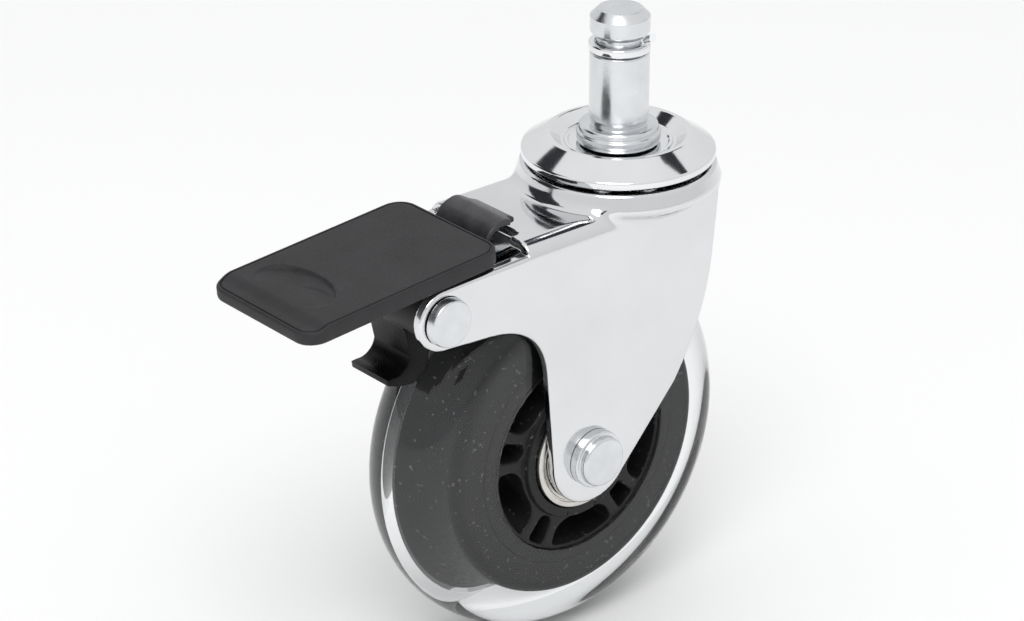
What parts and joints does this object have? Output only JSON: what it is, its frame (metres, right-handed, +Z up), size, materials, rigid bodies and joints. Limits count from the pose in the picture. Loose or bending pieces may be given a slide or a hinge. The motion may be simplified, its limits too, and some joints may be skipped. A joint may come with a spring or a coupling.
{
  "type": "swivel caster wheel",
  "caption": "Office chair swivel caster: grip-ring stem, ball race, chromed fork, clear-tread wheel on ball bearings and a foot brake pedal.",
  "frame": {"origin": "on the stem's axis, in the plane of the shoulder on top of its collar, which stops against the socket in the chair's leg", "axes": "+Z up along the stem towards its tip, +X the way the caster rolls, so the wheel and the brake pedal trail towards -X, and Y along the wheel's axle"},
  "size_m": [0.103, 0.0382, 0.1177],
  "materials": {
    "zinc_steel": "satin",
    "ring_steel": "satin",
    "chrome_cap": "polished",
    "race_steel": "satin",
    "cage_steel": "satin",
    "ball_steel": "polished",
    "fork_chrome": "polished",
    "rivet_zinc": "satin",
    "clear_pu": "gloss",
    "core_black": "satin",
    "bearing_steel": "satin",
    "shield_steel": "satin",
    "pedal_nylon": "matte",
    "spring_black": "satin"
  },
  "bodies": {
    "stem": {"stem": "zinc_steel", "grip_ring": "ring_steel", "upper_race_cap": "chrome_cap", "lower_race": "race_steel"},
    "upper_ball_set": {"upper_ball_retainer": "cage_steel", "upper_ball_1": "ball_steel", "upper_ball_2": "ball_steel", "upper_ball_3": "ball_steel", "upper_ball_4": "ball_steel", "upper_ball_5": "ball_steel", "upper_ball_6": "ball_steel", "upper_ball_7": "ball_steel", "upper_ball_8": "ball_steel", "upper_ball_9": "ball_steel", "upper_ball_10": "ball_steel"},
    "lower_ball_set": {"lower_ball_retainer": "cage_steel", "lower_ball_1": "ball_steel", "lower_ball_2": "ball_steel", "lower_ball_3": "ball_steel", "lower_ball_4": "ball_steel", "lower_ball_5": "ball_steel", "lower_ball_6": "ball_steel", "lower_ball_7": "ball_steel", "lower_ball_8": "ball_steel"},
    "fork": {"fork": "fork_chrome", "axle_rivet": "rivet_zinc", "pivot_rivet": "rivet_zinc", "bearing_spacer": "bearing_steel", "near_inner_ring": "bearing_steel", "far_inner_ring": "bearing_steel", "brake_spring": "spring_black"},
    "wheel": {"tread": "clear_pu", "wheel_core": "core_black", "near_outer_ring": "bearing_steel", "far_outer_ring": "bearing_steel", "near_outside_shield": "shield_steel", "near_inside_shield": "shield_steel", "far_outside_shield": "shield_steel", "far_inside_shield": "shield_steel"},
    "near_ball_set": {"near_ball_cage": "cage_steel", "near_ball_1": "ball_steel", "near_ball_2": "ball_steel", "near_ball_3": "ball_steel", "near_ball_4": "ball_steel", "near_ball_5": "ball_steel", "near_ball_6": "ball_steel", "near_ball_7": "ball_steel"},
    "far_ball_set": {"far_ball_cage": "cage_steel", "far_ball_1": "ball_steel", "far_ball_2": "ball_steel", "far_ball_3": "ball_steel", "far_ball_4": "ball_steel", "far_ball_5": "ball_steel", "far_ball_6": "ball_steel", "far_ball_7": "ball_steel"},
    "brake_pedal": {"brake_pedal": "pedal_nylon"}
  },
  "joints": [
    {"name": "swivel", "type": "hinge", "parent": "stem", "child": "fork", "pos_m": [0, 0, 0], "axis": [0, 0, 1], "continuous": true},
    {"name": "upper_ball_roll", "type": "hinge", "parent": "stem", "child": "upper_ball_set", "pos_m": [0, 0, 0], "axis": [0, 0, 1], "continuous": true},
    {"name": "lower_ball_roll", "type": "hinge", "parent": "stem", "child": "lower_ball_set", "pos_m": [0, 0, 0], "axis": [0, 0, 1], "continuous": true},
    {"name": "wheel_spin", "type": "hinge", "parent": "fork", "child": "wheel", "pos_m": [-0.0178, 0, -0.0575], "axis": [0, 1, 0], "continuous": true},
    {"name": "near_ball_roll", "type": "hinge", "parent": "fork", "child": "near_ball_set", "pos_m": [-0.0178, 0, -0.0575], "axis": [0, 1, 0], "continuous": true},
    {"name": "far_ball_roll", "type": "hinge", "parent": "fork", "child": "far_ball_set", "pos_m": [-0.0178, 0, -0.0575], "axis": [0, 1, 0], "continuous": true},
    {"name": "brake_press", "type": "hinge", "parent": "fork", "child": "brake_pedal", "pos_m": [-0.0525, 0, -0.019], "axis": [0, -1, 0], "range_deg": [0, 16.5]}
  ],
  "couplings": [
    {"joint": "upper_ball_roll", "follows": "swivel", "ratio": 0.5},
    {"joint": "lower_ball_roll", "follows": "swivel", "ratio": 0.5},
    {"joint": "near_ball_roll", "follows": "wheel_spin", "ratio": 0.6323},
    {"joint": "far_ball_roll", "follows": "wheel_spin", "ratio": 0.6323}
  ]
}
